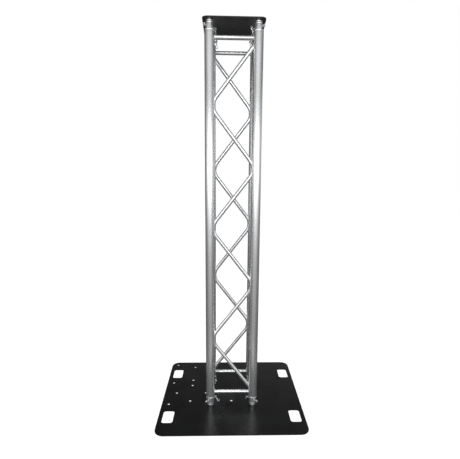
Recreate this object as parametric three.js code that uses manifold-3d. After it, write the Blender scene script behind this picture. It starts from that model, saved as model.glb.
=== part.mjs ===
// Square lighting truss tower: a two metre box truss standing on a square steel base plate,
// with a smaller square steel plate on top. Millimetres, +Z up. The origin is the centre of
// the base plate's underside, and the front face of the truss looks along -Y.

import * as THREE from 'three';
import { mergeVertices } from 'three/addons/utils/BufferGeometryUtils.js';
import Module from 'manifold-3d';

const wasm = await Module();
wasm.setup();

// Driving dimensions of the truss
const TRUSS_LENGTH = 2000;
const CHORD_PITCH = 240;
const CHORD_RADIUS = 25;
const CHORD_WALL = 2;
const BRACE_RADIUS = 10;
const BRACE_WALL = 2;
const BRACE_FROM_PLATE = 78;
const LATTICE_FROM_PLATE = 86;
const LATTICE_BAYS = 6;
const LATTICE_BEND_RADIUS = 70;

// Plates
const PLATE_THICKNESS = 6;
const BASE_SIZE = 800;
const BASE_CORNER_RADIUS = 50;
const TOP_SIZE = 310;
const TOP_CORNER_RADIUS = 26;
const SPARE_HOLE_RADIUS = 6.5;
const HAND_HOLE = { width: 60, length: 113, corner: 14, x: 347, y: 240 };

// End fittings, measured along the chord from the inner face of the plate
const GAP = 0.3;
const SPACER_END = 6;
const FLANGE_START = 8.5;
const FLANGE_END = 16;
const FLANGE_RADIUS = 17.5;
const SPACER_GROOVE_RADIUS = 14;
const CONE_END = 55;
const CONE_BASE_RADIUS = 13.8;
const CONE_TIP_RADIUS = 11.7;
const NECK_END = 43;
const COLLAR_END = 51;
const COLLAR_RADIUS = 25.2;
const CHORD_START = 55;
const SPIGOT_END = 92;
const BOLT_RADIUS = 6;
const BOLT_HEAD_RADIUS = 12;
const BOLT_REACH = 20;

// How far a cutting tool runs past the face it cuts
const PAST = 1;

// Tapered locking pin and its spring clip
const PIN_HEIGHT = 29;
const PIN_OUTER_REACH = 38;
const PIN_INNER_REACH = 45;
const PIN_OUTER_RADIUS = 6.2;
const PIN_INNER_RADIUS = 5;
const CLIP_REACH = 40;
const CLIP_WIRE_RADIUS = 1.4;
const CLIP_TAIL = 14;
const CLIP_LEG = 28;
const CLIP_LOOP_RADIUS = 6.5;
const CLIP_LOOP_TURN = 1.2 * Math.PI;
const CLIP_LOOP_STEPS = 8;
const CLIP_GRIP = PIN_INNER_RADIUS + CLIP_WIRE_RADIUS + 0.6;

// The clip's waved leg: distance along the straight leg, and distance beside it
const CLIP_WAVE = [
  [16, 6.6],
  [11, 4.4],
  [7, 5.2],
  [3, CLIP_GRIP],
  [-4, CLIP_GRIP],
  [-9, CLIP_GRIP],
  [-15, CLIP_GRIP + 2.4],
];

// Sides on round pieces
const CHORD_SIDES = 24;
const FITTING_SIDES = 12;
const BRACE_SIDES = 8;
const BOLT_SIDES = 8;
const SMALL_SIDES = 8;
const WIRE_SIDES = 6;

const TOP_PLATE_Z = PLATE_THICKNESS + FLANGE_END + TRUSS_LENGTH + FLANGE_END;
const HALF_PITCH = CHORD_PITCH / 2;
const TRIANGLE_APEX = CHORD_PITCH * (Math.sqrt(3) - 1) / 2;

// The four corners' signs, and each spring clip's angle round its pin at the bottom and at
// the top, in degrees from level.
const CORNERS = [
  { name: 'front_left', x: -1, y: -1, bottomClip: -17, topClip: 97 },
  { name: 'front_right', x: 1, y: -1, bottomClip: -6, topClip: 104 },
  { name: 'rear_right', x: 1, y: 1, bottomClip: 28, topClip: 91 },
  { name: 'rear_left', x: -1, y: 1, bottomClip: 94, topClip: 92 },
];

const FACES = [
  { name: 'front', turn: 0 },
  { name: 'right', turn: Math.PI / 2 },
  { name: 'rear', turn: Math.PI },
  { name: 'left', turn: -Math.PI / 2 },
];

// Materials: each mesh gets a copy of its own
const FINISHES = {
  blackSteel: { color: 0x17181b, roughness: 0.45, metalness: 0.3 },
  aluminium: { color: 0xc4c6c8, roughness: 0.3, metalness: 0.9 },
  castAluminium: { color: 0xb4b6b8, roughness: 0.4, metalness: 0.9 },
  zinc: { color: 0xd2d4d6, roughness: 0.2, metalness: 1.0 },
};

function namedMesh(name, geometry, finish) {
  geometry.computeVertexNormals();
  const mesh = new THREE.Mesh(geometry, new THREE.MeshStandardMaterial(FINISHES[finish]));
  mesh.name = name;
  return mesh;
}

// ---- Solids and booleans ----

function toSolid(geometry) {
  const bare = geometry.clone();
  bare.deleteAttribute('normal');
  bare.deleteAttribute('uv');
  const merged = mergeVertices(bare, 1e-4);
  const corners = Array.from(merged.index.array);
  const triangles = [];
  for (let i = 0; i < corners.length; i += 3) {
    const [a, b, c] = corners.slice(i, i + 3);
    if (a !== b && b !== c && c !== a) triangles.push(a, b, c);
  }
  return new wasm.Manifold(new wasm.Mesh({
    numProp: 3,
    vertProperties: new Float32Array(merged.attributes.position.array),
    triVerts: new Uint32Array(triangles),
  }));
}

function toGeometry(solid) {
  const mesh = solid.getMesh();
  const geometry = new THREE.BufferGeometry();
  geometry.setAttribute('position', new THREE.BufferAttribute(mesh.vertProperties, 3));
  geometry.setIndex(new THREE.BufferAttribute(mesh.triVerts, 1));
  return geometry;
}

function cutAway(geometry, tools) {
  let solid = toSolid(geometry);
  for (const tool of tools) solid = solid.subtract(toSolid(tool));
  return toGeometry(solid);
}

// A cylinder or cone standing on z = low, with its axis on (x, y)
function upright(lowRadius, highRadius, low, high, sides, x = 0, y = 0) {
  const geometry = new THREE.CylinderGeometry(highRadius, lowRadius, high - low, sides);
  geometry.rotateX(Math.PI / 2);
  geometry.translate(x, y, (low + high) / 2);
  return geometry;
}

// A ring or plug turned round the Z axis from (radius, height) pairs
function turned(profile, sides) {
  const geometry = new THREE.LatheGeometry(profile.map(([r, z]) => new THREE.Vector2(r, z)), sides);
  geometry.rotateX(Math.PI / 2);
  return geometry;
}

// Steps of a curve that fall exactly on the given points
class PointCurve extends THREE.Curve {
  constructor(points) {
    super();
    this.points = points;
  }

  getPoint(t, target = new THREE.Vector3()) {
    const place = t * (this.points.length - 1);
    const index = Math.min(Math.floor(place), this.points.length - 2);
    return target.lerpVectors(this.points[index], this.points[index + 1], place - index);
  }

  getUtoTmapping(u) {
    return u;
  }
}

function circlePoints(radius, sides, x = 0, y = 0) {
  const points = [];
  for (let i = 0; i < sides; i += 1) {
    const angle = 2 * Math.PI * (i + 0.5) / sides;
    points.push(new THREE.Vector2(x + radius * Math.cos(angle), y + radius * Math.sin(angle)));
  }
  return points;
}

// A round tube or rod along the points, hollow when a bore is given
function swept(points, radius, sides, bore = 0) {
  const section = new THREE.Shape(circlePoints(radius, sides));
  if (bore > 0) section.holes.push(new THREE.Path(circlePoints(bore, sides)));
  return new THREE.ExtrudeGeometry(section, {
    steps: points.length - 1,
    extrudePath: new PointCurve(points),
  });
}

// ---- Plates ----

function roundedRectangle(width, length, radius, steps, x = 0, y = 0) {
  const points = [];
  const signs = [[1, 1], [-1, 1], [-1, -1], [1, -1]];
  signs.forEach(([sx, sy], quarter) => {
    for (let i = 0; i <= steps; i += 1) {
      const angle = Math.PI / 2 * (quarter + i / steps);
      points.push(new THREE.Vector2(
        x + sx * (width / 2 - radius) + radius * Math.cos(angle),
        y + sy * (length / 2 - radius) + radius * Math.sin(angle),
      ));
    }
  });
  return points;
}

// A plate with plain holes, hand holes, and bolt holes whose countersinks open at outerZ
function plate(size, corner, plainHoles, handHoles, boltHoles, low, outerZ) {
  const outline = new THREE.Shape(roundedRectangle(size, size, corner, 6));
  for (const [x, y] of plainHoles) {
    outline.holes.push(new THREE.Path(circlePoints(SPARE_HOLE_RADIUS, SMALL_SIDES, x, y)));
  }
  for (const [x, y] of handHoles) {
    const { width, length, corner: handCorner } = HAND_HOLE;
    outline.holes.push(new THREE.Path(roundedRectangle(width, length, handCorner, 3, x, y)));
  }
  const slab = new THREE.ExtrudeGeometry(outline, { depth: PLATE_THICKNESS, bevelEnabled: false });
  slab.translate(0, 0, low);
  const clearance = GAP * Math.SQRT2;
  const wide = BOLT_HEAD_RADIUS + clearance;
  const narrow = BOLT_RADIUS + clearance;
  const lowIsOuter = outerZ === low;
  const lowRadius = lowIsOuter ? wide + PAST : narrow - PAST;
  const highRadius = lowIsOuter ? narrow - PAST : wide + PAST;
  const from = low - PAST;
  const to = low + PLATE_THICKNESS + PAST;
  const sinks = boltHoles.map(([x, y]) => upright(lowRadius, highRadius, from, to, BOLT_SIDES, x, y));
  const bores = boltHoles.map(([x, y]) => upright(narrow, narrow, from, to, BOLT_SIDES, x, y));
  return cutAway(slab, [...sinks, ...bores]);
}

function cornerHoles() {
  return CORNERS.map(({ x, y }) => [x * HALF_PITCH, y * HALF_PITCH]);
}

// The base plate has spare bolt holes for a truss of the same pitch set over another part
// of it: the corners of a square truss, and the third leg of a triangular one.
function basePlate() {
  const spare = [[0, -TRIANGLE_APEX]];
  spare.push([-3 * HALF_PITCH, -HALF_PITCH], [-3 * HALF_PITCH, HALF_PITCH]);
  spare.push([-3 * HALF_PITCH, 3 * HALF_PITCH], [-HALF_PITCH, 3 * HALF_PITCH]);
  for (const side of [-1, 1]) {
    spare.push([-CHORD_PITCH, side * TRIANGLE_APEX]);
    spare.push([-CHORD_PITCH + side * TRIANGLE_APEX, 0]);
    spare.push([-CHORD_PITCH, CHORD_PITCH + side * TRIANGLE_APEX]);
  }
  spare.push([-CHORD_PITCH + TRIANGLE_APEX, CHORD_PITCH]);
  const hands = CORNERS.map(({ x, y }) => [x * HAND_HOLE.x, y * HAND_HOLE.y]);
  return plate(BASE_SIZE, BASE_CORNER_RADIUS, [], hands, [...cornerHoles(), ...spare], 0, 0);
}

function topPlate() {
  const spare = [[0, 0], [TRIANGLE_APEX, 0]];
  const outer = TOP_PLATE_Z + PLATE_THICKNESS;
  return plate(TOP_SIZE, TOP_CORNER_RADIUS, spare, [], cornerHoles(), TOP_PLATE_Z, outer);
}

// ---- Truss tubes ----

function chord() {
  const low = PLATE_THICKNESS + CHORD_START;
  const high = TOP_PLATE_Z - CHORD_START;
  const inner = CHORD_RADIUS - CHORD_WALL;
  const profile = [[inner, low], [CHORD_RADIUS, low], [CHORD_RADIUS, high], [inner, high], [inner, low]];
  return turned(profile, CHORD_SIDES);
}

// The two chords that a face's braces are coped to, slightly oversize. X runs across the
// face and Z up it.
function copingTools() {
  const radius = CHORD_RADIUS + GAP;
  return [-1, 1].map((side) => upright(
    radius, radius, 0, TOP_PLATE_Z, CHORD_SIDES, side * HALF_PITCH, 0,
  ));
}

function brace(height) {
  const ends = [-1, 1].map((side) => new THREE.Vector3(side * HALF_PITCH, 0, height));
  const tube = swept(ends, BRACE_RADIUS, SMALL_SIDES, BRACE_RADIUS - BRACE_WALL);
  return cutAway(tube, copingTools());
}

// One long tube bent to and fro between the chords. Its straight runs aim at the chords'
// centre lines, and each bend is rounded so that it just leans on the chord.
function latticePath() {
  const top = TOP_PLATE_Z - LATTICE_FROM_PLATE;
  const bottom = PLATE_THICKNESS + LATTICE_FROM_PLATE;
  const bay = (top - bottom) / LATTICE_BAYS;
  const lean = Math.atan2(CHORD_PITCH, bay);
  const steps = 3;
  const points = [new THREE.Vector3(HALF_PITCH, 0, top)];
  for (let i = 1; i < LATTICE_BAYS; i += 1) {
    const side = i % 2 === 0 ? 1 : -1;
    const centreX = side * (HALF_PITCH - LATTICE_BEND_RADIUS / Math.cos(lean));
    const centreZ = top - i * bay;
    for (let k = 0; k <= steps; k += 1) {
      const angle = lean - 2 * lean * k / steps;
      points.push(new THREE.Vector3(
        centreX + side * LATTICE_BEND_RADIUS * Math.cos(angle),
        0,
        centreZ + LATTICE_BEND_RADIUS * Math.sin(angle),
      ));
    }
  }
  const lastSide = LATTICE_BAYS % 2 === 0 ? 1 : -1;
  points.push(new THREE.Vector3(lastSide * HALF_PITCH, 0, bottom));
  return points;
}

function lattice() {
  const tube = swept(latticePath(), BRACE_RADIUS, BRACE_SIDES, BRACE_RADIUS - BRACE_WALL);
  return cutAway(tube, copingTools());
}

// ---- End fittings: Z runs from the plate along the chord, X points out of the corner ----

function pinTool() {
  const tool = new THREE.CylinderGeometry(
    PIN_OUTER_RADIUS + GAP, PIN_INNER_RADIUS + GAP,
    PIN_OUTER_REACH + PIN_INNER_REACH, SMALL_SIDES,
  );
  tool.rotateZ(-Math.PI / 2);
  tool.translate((PIN_OUTER_REACH - PIN_INNER_REACH) / 2, 0, PIN_HEIGHT);
  return tool;
}

// Socket welded into the chord's end, with a conical seat for the coupler
function receiver() {
  const mouth = CONE_BASE_RADIUS + GAP;
  const bore = CONE_TIP_RADIUS + GAP;
  const spigot = CHORD_RADIUS - CHORD_WALL - GAP;
  const profile = [
    [mouth, FLANGE_END],
    [FLANGE_RADIUS, FLANGE_END],
    [FLANGE_RADIUS, NECK_END],
    [COLLAR_RADIUS, NECK_END],
    [COLLAR_RADIUS, COLLAR_END],
    [spigot, COLLAR_END],
    [spigot, SPIGOT_END],
    [bore, SPIGOT_END],
    [bore, CONE_END + 1],
    [mouth, FLANGE_END],
  ];
  return cutAway(turned(profile, FITTING_SIDES), [pinTool()]);
}

// Half of a conical coupler, bolted to the plate: spacer, flange and cone in one piece
function halfCoupler() {
  const thread = BOLT_RADIUS + GAP;
  const profile = [
    [thread, GAP],
    [FLANGE_RADIUS, GAP],
    [FLANGE_RADIUS, SPACER_END],
    [SPACER_GROOVE_RADIUS, SPACER_END],
    [SPACER_GROOVE_RADIUS, FLANGE_START],
    [FLANGE_RADIUS, FLANGE_START],
    [FLANGE_RADIUS, FLANGE_END - GAP],
    [CONE_BASE_RADIUS, FLANGE_END - GAP],
    [CONE_TIP_RADIUS, CONE_END],
    [0, CONE_END],
    [0, BOLT_REACH + GAP],
    [thread, BOLT_REACH + GAP],
    [thread, GAP],
  ];
  return cutAway(turned(profile, FITTING_SIDES), [pinTool()]);
}

// Countersunk bolt through the plate, its head flush with the plate's outer face
function couplerBolt() {
  const recess = 0.2;
  const profile = [
    [0, -PLATE_THICKNESS + recess],
    [BOLT_HEAD_RADIUS, -PLATE_THICKNESS + recess],
    [BOLT_RADIUS, recess],
    [BOLT_RADIUS, BOLT_REACH],
    [0, BOLT_REACH],
  ];
  return turned(profile, BOLT_SIDES);
}

// Tapered pin, drilled across its thin inner end for the clip
function couplerPin(clipAngle) {
  const body = new THREE.CylinderGeometry(
    PIN_OUTER_RADIUS, PIN_INNER_RADIUS, PIN_OUTER_REACH + PIN_INNER_REACH, SMALL_SIDES,
  );
  body.rotateZ(-Math.PI / 2);
  body.translate((PIN_OUTER_REACH - PIN_INNER_REACH) / 2, 0, 0);
  const across = 2 * (PIN_INNER_RADIUS + PAST);
  const drill = new THREE.CylinderGeometry(
    CLIP_WIRE_RADIUS + GAP, CLIP_WIRE_RADIUS + GAP, across, WIRE_SIDES,
  );
  drill.rotateX(clipAngle);
  drill.translate(-CLIP_REACH, 0, 0);
  return cutAway(body, [drill]);
}

// Spring clip: a straight leg through the pin, a loop, and a waved leg round the pin.
// In its own frame the leg runs along Y through the origin, and the wave lies towards -Z.
function pinClip() {
  const points = [new THREE.Vector3(0, -CLIP_TAIL, 0), new THREE.Vector3(0, CLIP_LEG, 0)];
  for (let k = 1; k <= CLIP_LOOP_STEPS; k += 1) {
    const angle = Math.PI / 2 - CLIP_LOOP_TURN * k / CLIP_LOOP_STEPS;
    points.push(new THREE.Vector3(
      0,
      CLIP_LEG + CLIP_LOOP_RADIUS * Math.cos(angle),
      -CLIP_LOOP_RADIUS + CLIP_LOOP_RADIUS * Math.sin(angle),
    ));
  }
  for (const [along, aside] of CLIP_WAVE) points.push(new THREE.Vector3(0, along, -aside));
  return swept(points, CLIP_WIRE_RADIUS, WIRE_SIDES);
}

// All the pieces that join one chord to one plate
function endFitting(corner, end) {
  const label = `${end}_${corner.name}`;
  const clipAngle = THREE.MathUtils.degToRad(end === 'top' ? corner.topClip : corner.bottomClip);
  const fitting = new THREE.Group();

  fitting.add(namedMesh(`receiver_${label}`, receiver(), 'castAluminium'));
  fitting.add(namedMesh(`half_coupler_${label}`, halfCoupler(), 'castAluminium'));
  fitting.add(namedMesh(`coupler_bolt_${label}`, couplerBolt(), 'zinc'));

  const pin = namedMesh(`coupler_pin_${label}`, couplerPin(clipAngle), 'zinc');
  pin.position.z = PIN_HEIGHT;
  fitting.add(pin);

  const clip = namedMesh(`pin_clip_${label}`, pinClip(), 'zinc');
  clip.position.set(-CLIP_REACH, 0, PIN_HEIGHT);
  clip.rotation.x = clipAngle;
  fitting.add(clip);

  const outward = Math.atan2(corner.y, corner.x);
  fitting.position.set(corner.x * HALF_PITCH, corner.y * HALF_PITCH, PLATE_THICKNESS);
  fitting.rotation.set(0, 0, outward);
  if (end === 'top') {
    fitting.position.z = TOP_PLATE_Z;
    fitting.rotation.set(Math.PI, 0, outward, 'ZYX');
  }
  return fitting;
}

// ---- Assembly ----

const group = new THREE.Group();

group.add(namedMesh('base_plate', basePlate(), 'blackSteel'));
group.add(namedMesh('top_plate', topPlate(), 'blackSteel'));

for (const corner of CORNERS) {
  const tube = namedMesh(`chord_${corner.name}`, chord(), 'aluminium');
  tube.position.set(corner.x * HALF_PITCH, corner.y * HALF_PITCH, 0);
  group.add(tube);
  group.add(endFitting(corner, 'bottom'));
  group.add(endFitting(corner, 'top'));
}

for (const face of FACES) {
  const side = new THREE.Group();
  const low = PLATE_THICKNESS + BRACE_FROM_PLATE;
  const high = TOP_PLATE_Z - BRACE_FROM_PLATE;
  const pieces = [
    namedMesh(`lattice_${face.name}`, lattice(), 'aluminium'),
    namedMesh(`brace_bottom_${face.name}`, brace(low), 'aluminium'),
    namedMesh(`brace_top_${face.name}`, brace(high), 'aluminium'),
  ];
  for (const piece of pieces) {
    piece.position.y = -HALF_PITCH;
    side.add(piece);
  }
  side.rotation.z = face.turn;
  group.add(side);
}

export default group;
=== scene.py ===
"""The looks of a square lighting truss tower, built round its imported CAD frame.

Metres, in the row frame: +Z up, the front face towards -Y. Every CAD node is faceted, so a
finer mesh of the same piece replaces it, and the welds are added as pieces of their own.
"""

import math
import random

import bmesh
import bpy
from mathutils import Matrix, Vector


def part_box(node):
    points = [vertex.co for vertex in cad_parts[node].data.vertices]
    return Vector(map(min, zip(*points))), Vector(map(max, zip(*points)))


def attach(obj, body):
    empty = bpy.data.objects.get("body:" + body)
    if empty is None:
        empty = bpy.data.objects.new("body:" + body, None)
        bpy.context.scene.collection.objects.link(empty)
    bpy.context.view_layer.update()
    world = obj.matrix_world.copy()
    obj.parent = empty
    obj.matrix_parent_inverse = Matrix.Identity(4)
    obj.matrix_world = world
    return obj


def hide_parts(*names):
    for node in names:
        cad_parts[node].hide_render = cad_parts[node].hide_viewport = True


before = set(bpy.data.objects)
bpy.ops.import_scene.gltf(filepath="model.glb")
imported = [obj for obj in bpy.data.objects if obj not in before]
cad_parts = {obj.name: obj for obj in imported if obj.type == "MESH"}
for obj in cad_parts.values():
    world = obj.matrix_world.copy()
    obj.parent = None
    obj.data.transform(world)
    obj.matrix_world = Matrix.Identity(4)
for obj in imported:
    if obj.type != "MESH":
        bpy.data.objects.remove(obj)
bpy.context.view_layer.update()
random.seed(11)

# ---- Sizes from the frame, in metres ----

BASE_LOW, BASE_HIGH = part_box("base_plate")
TOP_LOW, TOP_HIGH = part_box("top_plate")
CHORD_LOW, CHORD_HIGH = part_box("chord_front_right")
HALF_PITCH = (CHORD_LOW.x + CHORD_HIGH.x) / 2
CHORD_RADIUS = (CHORD_HIGH.x - CHORD_LOW.x) / 2
PLATE_THICKNESS = BASE_HIGH.z
TOP_PLATE_Z = TOP_LOW.z
PITCH = 2 * HALF_PITCH
# From a square truss's middle to the third chord of a triangular one that shares one side
TRIANGLE_APEX = PITCH * (math.sqrt(3) - 1) / 2
CHORD_WALL = 0.002
CHORD_EDGE = 0.0005

# Braces and lattices
BRACE_RADIUS = 0.010
BRACE_FROM_PLATE = 0.078
LATTICE_FROM_PLATE = 0.086
LATTICE_BAYS = 6
LATTICE_BEND_RADIUS = 0.070
PRESSED_SPREAD = 0.2

# Plates
BASE_CORNER_RADIUS = 0.050
TOP_CORNER_RADIUS = 0.026
SPARE_HOLE_RADIUS = 0.0065
HAND_HOLE_WIDTH = 0.060
HAND_HOLE_LENGTH = 0.113
HAND_HOLE_CORNER = 0.014
HAND_HOLE_X = 0.347
HAND_HOLE_Y = 0.240
PLATE_EDGE = 0.0005
PLATE_SHARP_ANGLE = 12

# End fittings, measured along the chord from the plate's inner face
SPACER_END = 0.006
SPACER_GROOVE_RADIUS = 0.014
FLANGE_START = 0.0085
FLANGE_RADIUS = 0.0175
FLANGE_END = 0.016
NECK_END = 0.043
COLLAR_END = 0.051
COLLAR_RADIUS = 0.0252
CHORD_START = 0.055
SPIGOT_END = 0.092
CONE_END = 0.055
CONE_BASE_RADIUS = 0.0138
CONE_TIP_RADIUS = 0.0117
GAP = 0.0003
TURNED_SIDES = 96
BOLT_RADIUS = 0.006
BOLT_HEAD_RADIUS = 0.012
BOLT_REACH = 0.020
SOCKET_ACROSS_FLATS = 0.008
SOCKET_DEPTH = 0.003

# How far a cutter runs past the surface that it cuts
PAST = 0.002

# Tapered pin and spring clip
PIN_HEIGHT = 0.029
PIN_OUTER_REACH = 0.038
PIN_INNER_REACH = 0.045
PIN_OUTER_RADIUS = 0.0062
PIN_INNER_RADIUS = 0.0050
PIN_TAPER = (PIN_OUTER_RADIUS - PIN_INNER_RADIUS) / (PIN_OUTER_REACH + PIN_INNER_REACH)
CLIP_REACH = 0.040
CLIP_WIRE_RADIUS = 0.0014
CLIP_TAIL = 0.014
CLIP_LEG = 0.028
CLIP_LOOP_RADIUS = 0.0065

# Weld beads: half their width, and the length of one ripple
WELD_SIZE = 0.0026
WELD_RIPPLE = 0.0026

# Each corner's place, and its clips' angles round the pin at the bottom and the top
CORNERS = {
    "front_left": (-1, -1, -17, 97),
    "front_right": (1, -1, -6, 104),
    "rear_right": (1, 1, 28, 91),
    "rear_left": (-1, 1, 94, 92),
}
FACES = {"front": 0.0, "right": math.pi / 2, "rear": math.pi, "left": -math.pi / 2}
ROOT_BODY = "truss_tower"

# The view: from the front, a little above mid height, looking slightly down
CAMERA_PLACE = (-0.0407, -2.1775, 1.2739)
CAMERA_YAW = 1.74
CAMERA_PITCH = -10.23
CAMERA_ROLL = 0.52
CAMERA_LENS = 30.51
CAMERA_SHIFT = (-0.0143, 0.0463)
FLOOR_REACH = 12.0


# ---- Mesh helpers ----


def make_object(name, verts, faces, grain=None):
    """A smooth-shaded object. grain is each vertex's place in the piece's own frame, with Z
    along the metal's grain, and it drives the materials' textures."""
    mesh = bpy.data.meshes.new(name)
    mesh.from_pydata([tuple(v) for v in verts], [], faces)
    mesh.validate()
    set_grain(mesh, grain if grain is not None else verts)
    return link_mesh(name, mesh)


def set_grain(mesh, places):
    """Stores each vertex's place along and across the metal's grain."""
    attribute = mesh.attributes.new("grain", "FLOAT_VECTOR", "POINT")
    flat = [c for place in places for c in place]
    attribute.data.foreach_set("vector", flat)


def link_mesh(name, mesh):
    """Puts a mesh in the scene with its faces pointing out."""
    bm = bmesh.new()
    bm.from_mesh(mesh)
    bmesh.ops.recalc_face_normals(bm, faces=bm.faces)
    bm.to_mesh(mesh)
    bm.free()
    mesh.shade_smooth()
    obj = bpy.data.objects.new(name, mesh)
    bpy.context.scene.collection.objects.link(obj)
    return obj


def shade_by_angle(obj, degrees=35):
    """Marks the edges that turn more than the angle as sharp, so that flat faces look flat."""
    bm = bmesh.new()
    bm.from_mesh(obj.data)
    for edge in bm.edges:
        if len(edge.link_faces) == 2:
            edge.smooth = edge.calc_face_angle(0.0) < math.radians(degrees)
    bm.to_mesh(obj.data)
    bm.free()


def ring_faces(rings, sides, closed=False):
    """Quads between successive rings of vertices, and from the last to the first if closed."""
    faces = []
    for k in range(rings if closed else rings - 1):
        low = k * sides
        high = ((k + 1) % rings) * sides
        for i in range(sides):
            j = (i + 1) % sides
            faces.append((low + i, low + j, high + j, high + i))
    return faces


def lathe(name, profile, sides=64):
    """Turns (radius, height) pairs round Z. A radius may be a function of the angle. The
    profile closes on itself, unless it starts and ends on the axis with radius 0."""
    on_axis = profile[0][0] == 0 and profile[-1][0] == 0
    rings = profile[1:-1] if on_axis else profile
    verts = []
    for radius, height in rings:
        for i in range(sides):
            angle = 2 * math.pi * i / sides
            r = radius(angle) if callable(radius) else radius
            verts.append((r * math.cos(angle), r * math.sin(angle), height))
    faces = ring_faces(len(rings), sides, closed=not on_axis)
    if on_axis:
        last = (len(rings) - 1) * sides
        verts.append((0, 0, profile[0][1]))
        verts.append((0, 0, profile[-1][1]))
        for i in range(sides):
            j = (i + 1) % sides
            faces.append((len(verts) - 2, j, i))
            faces.append((last + i, last + j, len(verts) - 1))
    obj = make_object(name, verts, faces)
    shade_by_angle(obj)
    return obj


def hexagon(across_flats):
    """The radius of a hexagon as a function of the angle."""
    sixth = math.pi / 3
    return lambda angle: across_flats / 2 / math.cos(angle % sixth - sixth / 2)


def softened(profile, edge):
    """The same closed profile with each corner cut back by edge and rounded by one step."""
    points = []
    count = len(profile)
    bulge = 0.45
    for k in range(count):
        corner = Vector(profile[k])
        to_last = Vector(profile[k - 1]) - corner
        to_next = Vector(profile[(k + 1) % count]) - corner
        reach = min(edge, to_last.length / 3, to_next.length / 3)
        first = corner + to_last.normalized() * reach
        last = corner + to_next.normalized() * reach
        middle = ((first + last) / 2).lerp(corner, bulge)
        points += [tuple(first), tuple(middle), tuple(last)]
    return points


def sweep(name, points, radius, sides, up, rounded_ends=False):
    """A round rod along points that lie in a plane with the normal up."""
    stations = []
    for k, point in enumerate(points):
        ahead = points[min(k + 1, len(points) - 1)]
        behind = points[max(k - 1, 0)]
        stations.append((point, (ahead - behind).normalized(), radius))
    if rounded_ends:
        start, way, _ = stations[0]
        finish, last_way, _ = stations[-1]
        steps = [(0.0, 0.35), (0.4, 0.8)]
        caps = [(start - way * radius * (0.7 - s), way, radius * r) for s, r in steps]
        tails = [(finish + last_way * radius * (0.7 - s), last_way, radius * r) for s, r in steps]
        stations = caps + stations + tails[::-1]
    verts = []
    grain = []
    length = 0.0
    last_point = stations[0][0]
    for point, way, size in stations:
        length += (point - last_point).length
        last_point = point
        across = way.cross(up).normalized()
        for i in range(sides):
            angle = 2 * math.pi * i / sides
            offset = up * (size * math.cos(angle)) + across * (size * math.sin(angle))
            verts.append(point + offset)
            grain.append((size * math.cos(angle), size * math.sin(angle), length))
    faces = ring_faces(len(stations), sides)
    last = (len(stations) - 1) * sides
    faces.append(tuple(range(sides))[::-1])
    faces.append(tuple(last + i for i in range(sides)))
    obj = make_object(name, verts, faces, grain)
    shade_by_angle(obj, 60)
    return obj


def apply_boolean(obj, cutters):
    """Cuts the cutters out of obj, keeping its grain, and removes them."""
    for cutter in cutters:
        modifier = obj.modifiers.new("cut", "BOOLEAN")
        modifier.operation = "DIFFERENCE"
        modifier.solver = "EXACT"
        modifier.object = cutter
    graph = bpy.context.evaluated_depsgraph_get()
    mesh = bpy.data.meshes.new_from_object(obj.evaluated_get(graph))
    obj.modifiers.clear()
    obj.data = mesh
    if "grain" in mesh.attributes:
        mesh.attributes.remove(mesh.attributes["grain"])
    set_grain(mesh, [v.co for v in mesh.vertices])
    for cutter in cutters:
        bpy.data.objects.remove(cutter)
    shade_by_angle(obj)


def shift_grain(mesh, distance):
    """Slides a piece's textures along its grain, so that no two pieces match."""
    for item in mesh.attributes["grain"].data:
        item.vector = item.vector + Vector((0, 0, distance))


def copy_of(pattern, name, matrix, grain_shift):
    """A piece like the pattern, moved by matrix."""
    mesh = pattern.data.copy()
    mesh.transform(matrix)
    shift_grain(mesh, grain_shift)
    obj = bpy.data.objects.new(name, mesh)
    bpy.context.scene.collection.objects.link(obj)
    return obj


def stand_for(obj, node, body, material):
    """obj takes a CAD node's place: its body and its finish."""
    obj.data.materials.clear()
    obj.data.materials.append(material)
    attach(obj, body)
    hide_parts(node)


# ---- Materials ----


def new_material(name):
    material = bpy.data.materials.new(name)
    material.use_nodes = True
    return material, material.node_tree.nodes, material.node_tree.links


def grain_noise(nodes, links, scale, stretch, detail=4.0):
    """Noise in the piece's own frame, stretched along its grain."""
    place = nodes.new("ShaderNodeAttribute")
    place.attribute_name = "grain"
    mapping = nodes.new("ShaderNodeMapping")
    mapping.inputs["Scale"].default_value = (1, 1, 1 / stretch)
    noise = nodes.new("ShaderNodeTexNoise")
    noise.inputs["Scale"].default_value = scale
    noise.inputs["Detail"].default_value = detail
    links.new(place.outputs["Vector"], mapping.inputs["Vector"])
    links.new(mapping.outputs["Vector"], noise.inputs["Vector"])
    return noise.outputs["Fac"]


def ramp(nodes, links, source, stops):
    """A colour ramp over source. Each stop is (place, grey or colour)."""
    node = nodes.new("ShaderNodeValToRGB")
    elements = node.color_ramp.elements
    while len(elements) < len(stops):
        elements.new(0.5)
    for element, (place, value) in zip(elements, stops):
        element.position = place
        colour = value if isinstance(value, tuple) else (value, value, value)
        element.color = (*colour, 1)
    links.new(source, node.inputs["Fac"])
    return node.outputs["Color"]


def math_node(nodes, links, operation, *values):
    """A math node over values, each a socket or a number."""
    node = nodes.new("ShaderNodeMath")
    node.operation = operation
    for socket, value in zip(node.inputs, values):
        if isinstance(value, (int, float)):
            socket.default_value = value
        else:
            links.new(value, socket)
    return node.outputs["Value"]


def add_bump(nodes, links, height, strength, distance):
    bump = nodes.new("ShaderNodeBump")
    bump.inputs["Strength"].default_value = strength
    bump.inputs["Distance"].default_value = distance
    links.new(height, bump.inputs["Height"])
    links.new(bump.outputs["Normal"], nodes["Principled BSDF"].inputs["Normal"])


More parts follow.
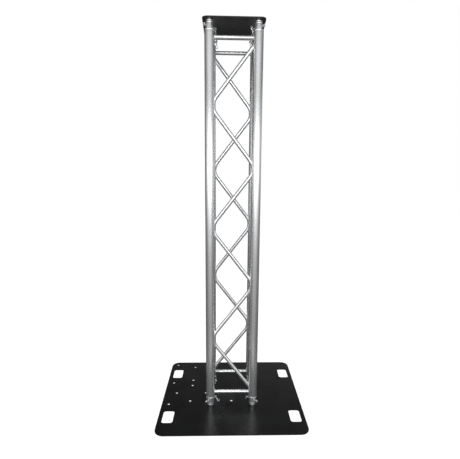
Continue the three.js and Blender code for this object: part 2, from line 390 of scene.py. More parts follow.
def metal(name, bareness, shades, roughness, scale, stretch, bump, distance):
    """Metal with grain. Its colour goes from the first shade to the second and its roughness
    from the second value to the first, along streaks of the given scale and stretch. A
    bareness below 1 is a dull oxide skin."""
    material, nodes, links = new_material(name)
    shader = nodes["Principled BSDF"]
    shader.inputs["Metallic"].default_value = bareness
    streaks = grain_noise(nodes, links, scale, stretch)
    patches = grain_noise(nodes, links, scale / 14, max(1.0, stretch / 8), 3.0)
    mix = nodes.new("ShaderNodeMix")
    mix.data_type = "FLOAT"
    mix.inputs["Factor"].default_value = 0.45
    links.new(streaks, mix.inputs["A"])
    links.new(patches, mix.inputs["B"])
    blend = mix.outputs["Result"]
    colour = ramp(nodes, links, blend, [(0.3, shades[0]), (0.7, shades[1])])
    rough = ramp(nodes, links, blend, [(0.3, roughness[1]), (0.7, roughness[0])])
    links.new(colour, shader.inputs["Base Color"])
    links.new(rough, shader.inputs["Roughness"])
    add_bump(nodes, links, streaks, bump, distance)
    return material


def powder_coat():
    """Satin black powder coat: a fine orange-peel skin with slightly uneven gloss."""
    material, nodes, links = new_material("black_powder_coat")
    shader = nodes["Principled BSDF"]
    shader.inputs["Specular IOR Level"].default_value = 0.38
    peel = grain_noise(nodes, links, 420.0, 1.0, 3.0)
    clouds = grain_noise(nodes, links, 9.0, 1.0, 4.0)
    dark = (0.0035, 0.0036, 0.0042)
    light = (0.0055, 0.0057, 0.0066)
    colour = ramp(nodes, links, clouds, [(0.3, dark), (0.7, light)])
    rough = ramp(nodes, links, clouds, [(0.3, 0.26), (0.7, 0.33)])
    links.new(colour, shader.inputs["Base Color"])
    links.new(rough, shader.inputs["Roughness"])
    add_bump(nodes, links, peel, 0.03, 0.0001)
    return material


TUBE_METAL = metal(
    "mill_aluminium", bareness=0.80, shades=((0.70, 0.71, 0.72), (0.86, 0.865, 0.87)),
    roughness=(0.19, 0.31), scale=900.0, stretch=60.0, bump=0.06, distance=0.0002,
)
TURNED_METAL = metal(
    "turned_aluminium", bareness=0.74, shades=((0.64, 0.65, 0.66), (0.82, 0.82, 0.83)),
    roughness=(0.21, 0.33), scale=1600.0, stretch=0.08, bump=0.10, distance=0.0002,
)
WELD_METAL = metal(
    "weld_aluminium", bareness=0.85, shades=((0.50, 0.50, 0.51), (0.78, 0.78, 0.78)),
    roughness=(0.34, 0.50), scale=700.0, stretch=1.0, bump=0.25, distance=0.0003,
)
ZINC = metal(
    "bright_zinc", bareness=0.85, shades=((0.74, 0.75, 0.77), (0.90, 0.91, 0.92)),
    roughness=(0.16, 0.28), scale=900.0, stretch=3.0, bump=0.08, distance=0.0001,
)
BLACK_COAT = powder_coat()


# ---- Plates ----


def loop_points(width, length, radius, x=0.0, y=0.0, steps=16):
    """A rounded rectangle's outline, counter-clockwise."""
    points = []
    for quarter, (sx, sy) in enumerate(((1, 1), (-1, 1), (-1, -1), (1, -1))):
        for i in range(steps + 1):
            angle = math.pi / 2 * (quarter + i / steps)
            points.append((
                x + sx * (width / 2 - radius) + radius * math.cos(angle),
                y + sy * (length / 2 - radius) + radius * math.sin(angle),
            ))
    return points


def hole_points(x, y, radius, sides=40):
    angles = [2 * math.pi * i / sides for i in range(sides)]
    return [(x + radius * math.cos(a), y + radius * math.sin(a)) for a in angles]


def plate(name, outline, holes, low_z):
    """A flat plate with soft edges all round its outline and its holes."""
    curve = bpy.data.curves.new(name, "CURVE")
    curve.dimensions = "2D"
    curve.fill_mode = "BOTH"
    curve.extrude = PLATE_THICKNESS / 2 - PLATE_EDGE
    curve.bevel_depth = PLATE_EDGE
    curve.bevel_resolution = 2
    curve.offset = -PLATE_EDGE
    for points in [outline, *holes]:
        spline = curve.splines.new("POLY")
        spline.points.add(len(points) - 1)
        for item, (x, y) in zip(spline.points, points):
            item.co = (x, y, 0, 1)
        spline.use_cyclic_u = True
    shape = bpy.data.objects.new(name + "_outline", curve)
    bpy.context.scene.collection.objects.link(shape)
    graph = bpy.context.evaluated_depsgraph_get()
    mesh = bpy.data.meshes.new_from_object(shape.evaluated_get(graph))
    bpy.data.objects.remove(shape)
    mesh.transform(Matrix.Translation((0, 0, low_z + PLATE_THICKNESS / 2)))
    bm = bmesh.new()
    bm.from_mesh(mesh)
    bmesh.ops.remove_doubles(bm, verts=bm.verts, dist=1e-6)
    bm.to_mesh(mesh)
    bm.free()
    set_grain(mesh, [v.co for v in mesh.vertices])
    return link_mesh(name, mesh)


def corner_holes():
    return [(sx * HALF_PITCH, sy * HALF_PITCH) for sx, sy, _, _ in CORNERS.values()]


def countersinks(holes, low_z, outer_is_low):
    """Cutters for coupler bolt holes, wide at the plate's outer face."""
    wide = BOLT_HEAD_RADIUS + GAP
    narrow = BOLT_RADIUS + GAP
    slope = (wide - narrow) / PLATE_THICKNESS
    profile = [
        (0, -PAST),
        (wide + PAST * slope, -PAST),
        (narrow, PLATE_THICKNESS),
        (narrow, PLATE_THICKNESS + PAST),
        (0, PLATE_THICKNESS + PAST),
    ]
    cutters = []
    for x, y in holes:
        cutter = lathe("cutter", profile, 48)
        flip = Matrix.Identity(4)
        if not outer_is_low:
            flip = Matrix.Translation((0, 0, PLATE_THICKNESS)) @ Matrix.Rotation(math.pi, 4, "X")
        cutter.data.transform(Matrix.Translation((x, y, low_z)) @ flip)
        cutters.append(cutter)
    return cutters


def base_plate():
    size = BASE_HIGH.x - BASE_LOW.x
    holes = [(0, -TRIANGLE_APEX)]
    holes += [(-3 * HALF_PITCH, -HALF_PITCH), (-3 * HALF_PITCH, HALF_PITCH)]
    holes += [(-3 * HALF_PITCH, 3 * HALF_PITCH), (-HALF_PITCH, 3 * HALF_PITCH)]
    for side in (-1, 1):
        holes.append((-PITCH, side * TRIANGLE_APEX))
        holes.append((-PITCH + side * TRIANGLE_APEX, 0))
        holes.append((-PITCH, PITCH + side * TRIANGLE_APEX))
    holes.append((-PITCH + TRIANGLE_APEX, PITCH))
    loops = []
    for sx, sy, _, _ in CORNERS.values():
        loops.append(loop_points(
            HAND_HOLE_WIDTH, HAND_HOLE_LENGTH, HAND_HOLE_CORNER,
            sx * HAND_HOLE_X, sy * HAND_HOLE_Y, 8,
        ))
    obj = plate("base_plate_coated", loop_points(size, size, BASE_CORNER_RADIUS), loops, 0.0)
    apply_boolean(obj, countersinks(corner_holes() + holes, 0.0, True))
    shade_by_angle(obj, PLATE_SHARP_ANGLE)
    stand_for(obj, "base_plate", ROOT_BODY, BLACK_COAT)


def top_plate():
    size = TOP_HIGH.x - TOP_LOW.x
    loops = [hole_points(x, 0, SPARE_HOLE_RADIUS) for x in (0, TRIANGLE_APEX)]
    obj = plate("top_plate_coated", loop_points(size, size, TOP_CORNER_RADIUS), loops, TOP_PLATE_Z)
    apply_boolean(obj, countersinks(corner_holes(), TOP_PLATE_Z, False))
    shade_by_angle(obj, PLATE_SHARP_ANGLE)
    stand_for(obj, "top_plate", ROOT_BODY, BLACK_COAT)


# ---- Truss tubes ----


def chords():
    low = CHORD_LOW.z
    high = CHORD_HIGH.z
    inner = CHORD_RADIUS - CHORD_WALL
    profile = [(inner, low), (CHORD_RADIUS, low), (CHORD_RADIUS, high), (inner, high)]
    pattern = lathe("chord_pattern", softened(profile, CHORD_EDGE), TURNED_SIDES)
    for index, (corner, (sx, sy, _, _)) in enumerate(CORNERS.items()):
        place = Matrix.Translation((sx * HALF_PITCH, sy * HALF_PITCH, 0))
        turn = Matrix.Rotation(index * math.pi / 2, 4, "Z")
        tube = copy_of(pattern, f"chord_tube_{corner}", place @ turn, 2.7 * index)
        stand_for(tube, f"chord_{corner}", ROOT_BODY, TUBE_METAL)
    bpy.data.objects.remove(pattern)


def lattice_line():
    """The lattice's centreline in its face's frame, X across and Z up: a list of (point,
    direction), close together round the bends and far apart between them."""
    top = TOP_PLATE_Z - LATTICE_FROM_PLATE
    bottom = PLATE_THICKNESS + LATTICE_FROM_PLATE
    bay = (top - bottom) / LATTICE_BAYS
    lean = math.atan2(PITCH, bay)
    arc_steps = 36
    lead = 0.024
    lead_steps = 8
    line = []
    for i in range(LATTICE_BAYS + 1):
        side = 1 if i % 2 == 0 else -1
        height = top - i * bay
        arriving = Vector((side * math.sin(lean), 0, -math.cos(lean)))
        leaving = Vector((-side * math.sin(lean), 0, -math.cos(lean)))
        if i == 0:
            line.append((Vector((HALF_PITCH, 0, top)), leaving))
            continue
        if i == LATTICE_BAYS:
            line.append((Vector((side * HALF_PITCH, 0, bottom)), arriving))
            continue
        centre = Vector((side * (HALF_PITCH - LATTICE_BEND_RADIUS / math.cos(lean)), 0, height))
        start = centre + LATTICE_BEND_RADIUS * Vector((side * math.cos(lean), 0, math.sin(lean)))
        finish = centre + LATTICE_BEND_RADIUS * Vector((side * math.cos(lean), 0, -math.sin(lean)))
        for k in range(lead_steps):
            line.append((start - arriving * lead * (1 - k / lead_steps), arriving))
        for k in range(arc_steps + 1):
            angle = lean - 2 * lean * k / arc_steps
            out = Vector((side * math.cos(angle), 0, math.sin(angle)))
            way = Vector((side * math.sin(angle), 0, -math.cos(angle)))
            line.append((centre + LATTICE_BEND_RADIUS * out, way))
        for k in range(1, lead_steps + 1):
            line.append((finish + leaving * lead * k / lead_steps, leaving))
    return line


def meet_chord(point, way, side):
    """Moves point along way until it is on the surface of the chord on that side."""
    axis = Vector((side * HALF_PITCH, 0, 0))
    flat_point = Vector((point.x - axis.x, point.y, 0))
    flat_way = Vector((way.x, way.y, 0))
    a = flat_way.length_squared
    b = 2 * flat_point.dot(flat_way)
    c = flat_point.length_squared - (CHORD_RADIUS - GAP) ** 2
    root = math.sqrt(max(b * b - 4 * a * c, 0.0))
    choices = [(-b - root) / (2 * a), (-b + root) / (2 * a)]
    found = [point + way * t for t in choices]
    return min(found, key=lambda p: abs(p.x))


def press_on_chord(point, side, spread):
    """Moves a point that lies inside a chord straight out of it across the face, and
    spreads the pressed tube sideways."""
    limit = CHORD_RADIUS - GAP
    y = point.y * spread
    x = side * HALF_PITCH - point.x
    reach = math.sqrt(max(limit * limit - y * y, 0.0))
    if abs(x) < limit and math.hypot(x, y) < limit:
        return Vector((side * (HALF_PITCH - reach), y, point.z)), True
    return Vector((point.x, y, point.z)), False


def brace_tube(name, line, sides=32):
    """A round tube whose ends are coped to the chords and whose bends are pressed against
    them. Returns it with the closed loops along which it is welded."""
    verts = []
    grain = []
    loops = []
    contact = []
    length = 0.0
    last_point = line[0][0]
    for k, (point, way) in enumerate(line):
        length += (point - last_point).length
        last_point = point
        side = 1 if point.x > 0 else -1
        is_end = k in (0, len(line) - 1)
        across = way.cross(Vector((0, 1, 0)))
        depth = abs(point.x) + BRACE_RADIUS - (HALF_PITCH - CHORD_RADIUS)
        pressed = 0.0 if is_end else min(max(depth / (2 * BRACE_RADIUS), 0.0), 1.0)
        spread = 1 + PRESSED_SPREAD * pressed
        ring = []
        inside = []
        for i in range(sides):
            angle = 2 * math.pi * i / sides
            offset = across * math.cos(angle) + Vector((0, 1, 0)) * math.sin(angle)
            spot = point + offset * BRACE_RADIUS
            if is_end:
                spot = meet_chord(spot, way, side)
                touches = True
            else:
                spot, touches = press_on_chord(spot, side, spread)
            ring.append(spot)
            inside.append(touches)
            grain.append((BRACE_RADIUS * math.cos(angle), BRACE_RADIUS * math.sin(angle), length))
        verts += ring
        if is_end:
            loops.append((side, ring))
        elif any(inside):
            touching = [spot for spot, touches in zip(ring, inside) if touches]
            contact.append((min(touching, key=lambda p: p.y), max(touching, key=lambda p: p.y)))
        if contact and (is_end or not any(inside)):
            near = [pair[0] for pair in contact]
            far = [pair[1] for pair in contact]
            contact_side = 1 if near[0].x > 0 else -1
            loops.append((contact_side, near + far[::-1]))
            contact = []
    faces = ring_faces(len(line), sides)
    last = (len(line) - 1) * sides
    faces.append(tuple(range(sides))[::-1])
    faces.append(tuple(last + i for i in range(sides)))
    obj = make_object(name, verts, faces, grain)
    shade_by_angle(obj, 50)
    return obj, loops


def resampled(points, spacing):
    """Evenly spaced points round a closed loop."""
    lengths = [(points[k - 1] - points[k]).length for k in range(len(points))]
    total = sum(lengths)
    count = max(int(total / spacing), 24)
    result = []
    k = 1
    travelled = 0.0
    for n in range(count):
        goal = total * n / count
        while travelled + lengths[k % len(points)] < goal:
            travelled += lengths[k % len(points)]
            k += 1
        start = points[(k - 1) % len(points)]
        finish = points[k % len(points)]
        share = (goal - travelled) / max(lengths[k % len(points)], 1e-9)
        result.append(start.lerp(finish, share))
    return result


def ripples(place):
    """The rounded scales of a weld, from 0 to 1, one for each whole number that place passes."""
    phase = place % 1.0
    return math.sqrt(max(1 - (2 * phase - 1) ** 2, 0))


def weld_bead(loops, sides=8):
    """Rippled weld beads along closed loops on the chords: verts, faces and grain."""
    verts = []
    faces = []
    grain = []
    spacing = 0.0008
    flatness = 0.75
    for side, points in loops:
        line = resampled(points, spacing)
        count = len(line)
        waves = max(round(count * spacing / WELD_RIPPLE), 1)
        first = len(verts)
        shift = random.uniform(0, 5)
        for k, point in enumerate(line):
            way = (line[(k + 2) % count] - line[k - 2]).normalized()
            outward = Vector((point.x - side * HALF_PITCH, point.y, 0)).normalized()
            across = way.cross(outward).normalized()
            swell = WELD_SIZE * (0.86 + 0.22 * ripples(k / count * waves))
            swell *= 1 + 0.08 * math.sin(9 * k / count * 2 * math.pi + shift)
            centre = point + outward * (0.15 * WELD_SIZE)
            for i in range(sides):
                angle = 2 * math.pi * i / sides
                spot = outward * (flatness * math.cos(angle)) + across * math.sin(angle)
                verts.append(centre + spot * swell)
                grain.append((
                    WELD_SIZE * math.cos(angle), WELD_SIZE * math.sin(angle), k * spacing + shift,
                ))
        for a, b, c, d in ring_faces(count, sides, closed=True):
            faces.append((first + a, first + b, first + c, first + d))
    return verts, faces, grain


def face_pieces():
    """The lattice, the braces and their welds, on each of the four faces."""
    heights = {
        "bottom": PLATE_THICKNESS + BRACE_FROM_PLATE,
        "top": TOP_PLATE_Z - BRACE_FROM_PLATE,
    }
    for index, (face, turn) in enumerate(FACES.items()):
        place = Matrix.Rotation(turn, 4, "Z") @ Matrix.Translation((0, -HALF_PITCH, 0))
        tube, loops = brace_tube(f"lattice_tube_{face}", lattice_line())
        pieces = [(tube, f"lattice_{face}")]
        for end, height in heights.items():
            line = [
                (Vector((side * HALF_PITCH, 0, height)), Vector((1, 0, 0))) for side in (-1, 1)
            ]
            bar, bar_loops = brace_tube(f"brace_tube_{end}_{face}", line)
            pieces.append((bar, f"brace_{end}_{face}"))
            loops += bar_loops
        for obj, node in pieces:
            obj.data.transform(place)
            shift_grain(obj.data, 3.1 * index)
            stand_for(obj, node, ROOT_BODY, TUBE_METAL)
        beads = make_object(f"welds_{face}", *weld_bead(loops))
        beads.data.transform(place)
        beads.data.materials.append(WELD_METAL)
        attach(beads, ROOT_BODY)


# ---- End fittings: Z runs from the plate along the chord, X points out of the corner ----


def pin_cutter():
    """The tapered hole for the pin, with its clearance, through a whole fitting."""
    profile = [
        (0, -PIN_INNER_REACH - PAST),
        (PIN_INNER_RADIUS + GAP - PAST * PIN_TAPER, -PIN_INNER_REACH - PAST),
        (PIN_OUTER_RADIUS + GAP + PAST * PIN_TAPER, PIN_OUTER_REACH + PAST),
        (0, PIN_OUTER_REACH + PAST),
    ]
    cutter = lathe("cutter", profile, 48)
    lay_down = Matrix.Rotation(math.pi / 2, 4, "Y")
    cutter.data.transform(Matrix.Translation((0, 0, PIN_HEIGHT)) @ lay_down)
    return cutter


def receiver():
    """The socket welded into a chord: a spigot inside the tube, a collar, and a neck."""
    mouth = CONE_BASE_RADIUS + GAP
    bore = CONE_TIP_RADIUS + GAP
    groove = CHORD_RADIUS - CHORD_WALL - GAP
    cone_clearance = 0.001
    profile = [
        (mouth, FLANGE_END),
        (FLANGE_RADIUS, FLANGE_END),
        (FLANGE_RADIUS, NECK_END),
        (COLLAR_RADIUS, NECK_END),
        (COLLAR_RADIUS, COLLAR_END),
        (groove, COLLAR_END),
        (groove, SPIGOT_END),
        (bore, SPIGOT_END),
        (bore, CONE_END + cone_clearance),
    ]
    obj = lathe("receiver_pattern", softened(profile, 0.0007), TURNED_SIDES)
    apply_boolean(obj, [pin_cutter()])
    return obj


def half_coupler():
    """The cone that a receiver slides over, with its flange and spacer, drilled for its bolt."""
    thread = BOLT_RADIUS + GAP
    vent = 0.002
    profile = [
        (thread, GAP),
        (FLANGE_RADIUS, GAP),
        (FLANGE_RADIUS, SPACER_END),
        (SPACER_GROOVE_RADIUS, SPACER_END),
        (SPACER_GROOVE_RADIUS, FLANGE_START),
        (FLANGE_RADIUS, FLANGE_START),
        (FLANGE_RADIUS, FLANGE_END - GAP),
        (CONE_BASE_RADIUS, FLANGE_END - GAP),
        (CONE_TIP_RADIUS, CONE_END),
        (vent, CONE_END),
        (vent, BOLT_REACH + GAP),
        (thread, BOLT_REACH + GAP),
    ]
    obj = lathe("coupler_pattern", softened(profile, 0.0006), TURNED_SIDES)
    apply_boolean(obj, [pin_cutter()])
    return obj


def coupler_bolt():
    """A countersunk socket bolt, its head just below the plate's outer face."""
    sunk = 0.0002
    head = -PLATE_THICKNESS + sunk
    socket = hexagon(SOCKET_ACROSS_FLATS)
    drill_radius = 0.0028
    drill_depth = SOCKET_DEPTH + 0.0005
    chamfer = 0.001
    profile = [
        (0, head + drill_depth),
        (drill_radius, head + drill_depth),
        (socket, head + SOCKET_DEPTH),
        (socket, head),
        (BOLT_HEAD_RADIUS - 0.0006, head),
        (BOLT_HEAD_RADIUS - 0.0001, head + 0.0003),
        (BOLT_RADIUS, sunk),
        (BOLT_RADIUS, BOLT_REACH - chamfer),
        (BOLT_RADIUS - chamfer, BOLT_REACH),
        (0, BOLT_REACH),
    ]
    return lathe("bolt_pattern", profile, 60)


def coupler_pin():
    """The tapered pin along X, with a threaded pull hole in its thick end and a cross
    hole for the clip near its thin end."""
    edge = 0.0008
    pull_hole = 0.0032
    pull_hole_depth = 0.009
    profile = [
        (0, -PIN_INNER_REACH),
        (PIN_INNER_RADIUS - edge, -PIN_INNER_REACH),
        (PIN_INNER_RADIUS + edge * PIN_TAPER, -PIN_INNER_REACH + edge),
        (PIN_OUTER_RADIUS - edge * PIN_TAPER, PIN_OUTER_REACH - edge),
        (PIN_OUTER_RADIUS - edge, PIN_OUTER_REACH),
        (pull_hole + 0.0004, PIN_OUTER_REACH),
        (pull_hole, PIN_OUTER_REACH - 0.0006),
        (pull_hole, PIN_OUTER_REACH - pull_hole_depth),
        (0, PIN_OUTER_REACH - pull_hole_depth - 0.001),
    ]
    obj = lathe("pin_pattern", profile, 48)
    obj.data.transform(Matrix.Rotation(math.pi / 2, 4, "Y"))
    reach = PIN_INNER_RADIUS + PAST
    radius = CLIP_WIRE_RADIUS + GAP
    drill = lathe("cutter", [(0, -reach), (radius, -reach), (radius, reach), (0, reach)], 24)
    lay_down = Matrix.Rotation(math.pi / 2, 4, "X")
    drill.data.transform(Matrix.Translation((-CLIP_REACH, 0, 0)) @ lay_down)
    apply_boolean(obj, [drill])
    return obj


def smooth_line(points, steps):
    """Points along a Catmull-Rom curve through the given ones."""
    line = []
    for k in range(len(points) - 1):
        p0 = points[max(k - 1, 0)]
        p1, p2 = points[k], points[k + 1]
        p3 = points[min(k + 2, len(points) - 1)]
        for s in range(steps):
            t = s / steps
            line.append(0.5 * (
                2 * p1 + (p2 - p0) * t
                + (2 * p0 - 5 * p1 + 4 * p2 - p3) * t * t
                + (3 * p1 - p0 - 3 * p2 + p3) * t * t * t
            ))
    line.append(points[-1])
    return line


def pin_clip():
    """The spring clip in its own plane: a straight leg along Y, a loop, and a waved leg."""
    leg = [Vector((0, -CLIP_TAIL + CLIP_LEG * 1.5 * s / 6, 0)) for s in range(7)]
    loop = []
    loop_steps = 24
    loop_turn = 1.2 * math.pi
    for k in range(loop_steps + 1):
        angle = math.pi / 2 - loop_turn * k / loop_steps
        loop.append(Vector((
            0,
            CLIP_LEG + CLIP_LOOP_RADIUS * math.cos(angle),
            -CLIP_LOOP_RADIUS + CLIP_LOOP_RADIUS * math.sin(angle),
        )))
    beside = PIN_INNER_RADIUS + CLIP_WIRE_RADIUS + 0.0006
    wave = [
        (0.016, 0.0066), (0.011, 0.0044), (0.007, 0.0052), (0.003, beside),
        (-0.004, beside), (-0.009, beside), (-0.015, beside + 0.0024),
    ]
    bent = [loop[-1]] + [Vector((0, along, -aside)) for along, aside in wave]
    points = [p for p in leg if p.y < CLIP_LEG - 0.002] + loop + smooth_line(bent, 6)[1:]
    return sweep("clip_pattern", points, CLIP_WIRE_RADIUS, 16, Vector((1, 0, 0)), True)


def collar_weld():
    """The bead that joins a chord's end to the receiver's collar, round the groove."""
    sides = 160
    rings = 10
    waves = 60
    sunk = 0.0035
    size = 0.002
    middle = (COLLAR_END + CHORD_START) / 2
    verts = []
    grain = []
    for i in range(sides):
        angle = 2 * math.pi * i / sides
        swell = 1 + 0.10 * ripples(i / sides * waves)
        for k in range(rings):
            turn = 2 * math.pi * k / rings
            radius = CHORD_RADIUS - sunk + 0.95 * size * swell * math.cos(turn)
            height = middle + 1.05 * size * math.sin(turn)
            verts.append((radius * math.cos(angle), radius * math.sin(angle), height))
            grain.append((size * math.cos(turn), size * math.sin(turn), angle * CHORD_RADIUS))
    faces = []
    for i in range(sides):
        j = (i + 1) % sides
        for k in range(rings):
            m = (k + 1) % rings
            faces.append((i * rings + k, j * rings + k, j * rings + m, i * rings + m))
    return make_object("collar_weld_pattern", verts, faces, grain)


def end_fittings():
    """Every receiver, coupler, bolt, pin, clip and collar weld, at both ends of each chord."""
    patterns = {
        "socket": (receiver(), "receiver_", "machined_aluminium", TURNED_METAL),
        "coupler": (half_coupler(), "half_coupler_", "machined_aluminium", TURNED_METAL),
        "bolt": (coupler_bolt(), "coupler_bolt_", "zinc_steel", ZINC),
    }
    pin = coupler_pin()
    clip = pin_clip()
    bead = collar_weld()
    number = 0
    for corner, (sx, sy, bottom_angle, top_angle) in CORNERS.items():
        outward = Matrix.Rotation(math.atan2(sy, sx), 4, "Z")
        for end, z, clip_angle in (
            ("bottom", PLATE_THICKNESS, bottom_angle), ("top", TOP_PLATE_Z, top_angle),
        ):
            number += 1
            label = f"{end}_{corner}"
            place = Matrix.Translation((sx * HALF_PITCH, sy * HALF_PITCH, z)) @ outward
            if end == "top":
                place = place @ Matrix.Rotation(math.pi, 4, "X")
            shift = 0.61 * number
            for kind, (pattern, node, slot, material) in patterns.items():
                obj = copy_of(pattern, f"turned_{kind}_{label}", place, shift)
                stand_for(obj, node + label, ROOT_BODY, material)
            weld = copy_of(bead, f"collar_weld_{label}", place, shift)
            weld.data.materials.append(WELD_METAL)
            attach(weld, ROOT_BODY)
            turned = Matrix.Rotation(math.radians(clip_angle), 4, "X")
            at_pin = place @ Matrix.Translation((0, 0, PIN_HEIGHT)) @ turned
            peg = copy_of(pin, f"taper_pin_{label}", at_pin, shift)
            stand_for(peg, f"coupler_pin_{label}", f"pin_{label}", ZINC)
            at_clip = at_pin @ Matrix.Translation((-CLIP_REACH, 0, 0))
            wire = copy_of(clip, f"spring_clip_{label}", at_clip, shift)
            stand_for(wire, f"pin_clip_{label}", f"clip_{label}", ZINC)
    for pattern in [pin, clip, bead] + [entry[0] for entry in patterns.values()]:
        bpy.data.objects.remove(pattern)


# ---- Camera, light and floor ----


def camera():
    data = bpy.data.cameras.new("camera")
    data.sensor_width = 36.0
    data.lens = CAMERA_LENS
    data.shift_x, data.shift_y = CAMERA_SHIFT
    data.clip_end = 60
    obj = bpy.data.objects.new("camera", data)
    bpy.context.scene.collection.objects.link(obj)
    yaw = math.radians(CAMERA_YAW)
    pitch = math.radians(CAMERA_PITCH)
    roll = math.radians(CAMERA_ROLL)
    forward = Vector((
        math.sin(yaw) * math.cos(pitch), math.cos(yaw) * math.cos(pitch), math.sin(pitch),
    ))
    level = Vector((math.cos(yaw), -math.sin(yaw), 0))
    up = level.cross(forward)
    right = level * math.cos(roll) + up * math.sin(roll)
    top = -level * math.sin(roll) + up * math.cos(roll)
    turn = Matrix((right, top, -forward)).transposed().to_4x4()
    obj.matrix_world = Matrix.Translation(CAMERA_PLACE) @ turn
    bpy.context.scene.camera = obj


def studio_light():
    """A soft white room: bright in front of the truss, dimmer behind it and below."""
    world = bpy.data.worlds.new("studio")
    world.use_nodes = True
    bpy.context.scene.world = world
    nodes = world.node_tree.nodes
    links = world.node_tree.links
    place = nodes.new("ShaderNodeTexCoord")
    split = nodes.new("ShaderNodeSeparateXYZ")
    links.new(place.outputs["Generated"], split.inputs["Vector"])

    def scaled(source, low, high):
        node = nodes.new("ShaderNodeMapRange")
        node.inputs["From Min"].default_value = low
        node.inputs["From Max"].default_value = high
        links.new(source, node.inputs["Value"])
        return node.outputs["Result"]

    across = ramp(
        nodes, links, scaled(split.outputs["Y"], -1, 1),
        [
            (0.0, 1.0), (0.03, 0.97), (0.115, 0.85), (0.265, 0.48),
            (0.475, 0.2), (0.75, 0.09), (0.93, 0.1), (1.0, 0.35),
        ],
    )
    above = ramp(
        nodes, links, scaled(split.outputs["Z"], -1, 1),
        [
            (0.0, (0.25, 0.24, 0.23)), (0.46, (0.28, 0.28, 0.275)), (0.5, (0.42, 0.425, 0.43)),
            (0.535, (0.98, 0.99, 1.0)), (0.645, (0.98, 0.99, 1.0)), (0.66, (0.40, 0.405, 0.41)),
            (0.68, (0.20, 0.205, 0.21)), (0.72, (0.13, 0.135, 0.14)), (0.76, (0.42, 0.42, 0.42)),
            (0.80, (0.42, 0.42, 0.42)), (0.86, (0.28, 0.285, 0.29)), (1.0, (0.36, 0.37, 0.38)),
        ],
    )
    product = nodes.new("ShaderNodeMix")
    product.data_type = "RGBA"
    product.blend_type = "MULTIPLY"
    product.inputs["Factor"].default_value = 1.0
    links.new(across, product.inputs["A"])
    links.new(above, product.inputs["B"])
    # Behind the truss the room is brighter on the right than on the left
    behind = math_node(nodes, links, "MAXIMUM", split.outputs["Y"], 0.0)
    rightward = math_node(nodes, links, "MULTIPLY", behind, split.outputs["X"])
    slope = math_node(nodes, links, "MULTIPLY_ADD", rightward, 5.0, 2.6)
    room = nodes["Background"]
    links.new(slope, room.inputs["Strength"])
    links.new(product.outputs["Result"], room.inputs["Color"])
    seen = nodes.new("ShaderNodeBackground")
    seen.inputs["Color"].default_value = (1, 1, 1, 1)
    seen.inputs["Strength"].default_value = 1.0
    path = nodes.new("ShaderNodeLightPath")
    chosen = nodes.new("ShaderNodeMixShader")
    links.new(path.outputs["Is Camera Ray"], chosen.inputs["Fac"])
    links.new(room.outputs["Background"], chosen.inputs[1])
    links.new(seen.outputs["Background"], chosen.inputs[2])
    links.new(chosen.outputs["Shader"], nodes["World Output"].inputs["Surface"])


def area_light(name, place, aim, size, power):
    data = bpy.data.lights.new(name, "AREA")
    data.shape = "RECTANGLE"
    data.size, data.size_y = size
    data.energy = power
    obj = bpy.data.objects.new(name, data)
    bpy.context.scene.collection.objects.link(obj)
    obj.location = place
    obj.rotation_euler = (Vector(aim) - Vector(place)).to_track_quat("-Z", "Y").to_euler()


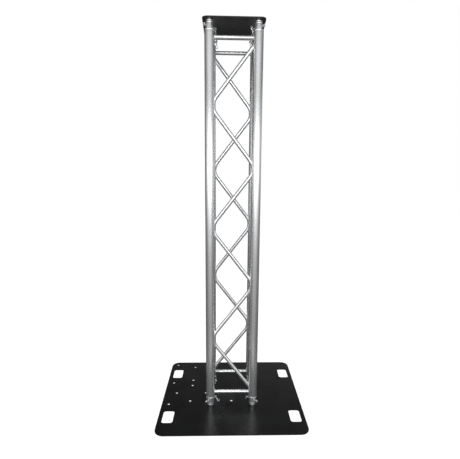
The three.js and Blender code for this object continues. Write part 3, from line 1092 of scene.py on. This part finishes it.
def floor():
    """A pale floor that meets the white background without an edge. Seen in reflections and by
    bounced light, it glows instead with painted light: brighter in front of the truss than behind
    it, and darker in a ring just past the base plate.
    """
    material, nodes, links = new_material("pale_floor")
    diffuse = nodes.new("ShaderNodeBsdfDiffuse")
    diffuse.inputs["Color"].default_value = (0.25, 0.25, 0.25, 1)
    glow = nodes.new("ShaderNodeEmission")
    glow.inputs["Color"].default_value = (1, 1, 1, 1)
    glow.inputs["Strength"].default_value = 0.95
    both = nodes.new("ShaderNodeAddShader")
    links.new(diffuse.outputs["BSDF"], both.inputs[0])
    links.new(glow.outputs["Emission"], both.inputs[1])
    place = nodes.new("ShaderNodeTexCoord")
    split = nodes.new("ShaderNodeSeparateXYZ")
    links.new(place.outputs["Object"], split.inputs["Vector"])
    x, y = split.outputs["X"], split.outputs["Y"]
    x_squared = math_node(nodes, links, "MULTIPLY", x, x)
    span = math_node(nodes, links, "SQRT", math_node(nodes, links, "MULTIPLY_ADD", y, y, x_squared))
    far = math_node(nodes, links, "DIVIDE", span, FLOOR_REACH)
    # Painted light seen in the metal: the glow dips to a dark ring just past the base plate, then
    # brightens towards the floor's far edge
    shades = ramp(
        nodes, links, far,
        [
            (0.0, (0.50, 0.49, 0.47)), (0.045, (0.45, 0.44, 0.42)), (0.06, (0.25, 0.24, 0.225)),
            (0.15, (0.34, 0.33, 0.31)), (0.28, (0.40, 0.395, 0.39)), (0.58, (0.58, 0.585, 0.59)),
            (1.0, (0.78, 0.785, 0.79)),
        ],
    )
    forward = math_node(nodes, links, "MULTIPLY", y, -1.0)
    turn = math_node(nodes, links, "ARCTAN2", x, forward)
    share = math_node(nodes, links, "DIVIDE", math_node(nodes, links, "ABSOLUTE", turn), math.pi)
    # Painted light: the glow is strongest in front of the truss and weakest behind it
    wedge = ramp(
        nodes, links, share, [(0.0, 1.0), (0.16, 0.9), (0.32, 0.32), (0.55, 0.2), (1.0, 0.16)]
    )
    dim = nodes.new("ShaderNodeEmission")
    links.new(wedge, dim.inputs["Strength"])
    links.new(shades, dim.inputs["Color"])
    path = nodes.new("ShaderNodeLightPath")
    chosen = nodes.new("ShaderNodeMixShader")
    links.new(path.outputs["Is Camera Ray"], chosen.inputs["Fac"])
    links.new(dim.outputs["Emission"], chosen.inputs[1])
    links.new(both.outputs["Shader"], chosen.inputs[2])
    links.new(chosen.outputs["Shader"], nodes["Material Output"].inputs["Surface"])
    drop = -0.0004
    signs = ((-1, -1), (1, -1), (1, 1), (-1, 1))
    corners = [(sx * FLOOR_REACH, sy * FLOOR_REACH, drop) for sx, sy in signs]
    mesh = bpy.data.meshes.new("floor")
    mesh.from_pydata(corners, [], [(0, 1, 2, 3)])
    mesh.materials.append(material)
    obj = bpy.data.objects.new("floor", mesh)
    bpy.context.scene.collection.objects.link(obj)


camera()
studio_light()
area_light("overhead", (-0.3, 0.2, 3.9), (0, 0, 0.6), (1.8, 1.8), 50)
area_light("front", (0, -3.5, 1.95), (0, 0, 0.2), (2.4, 0.9), 24)
floor()

base_plate()
top_plate()
chords()
face_pieces()
end_fittings()

bpy.context.scene.view_settings.view_transform = "Standard"
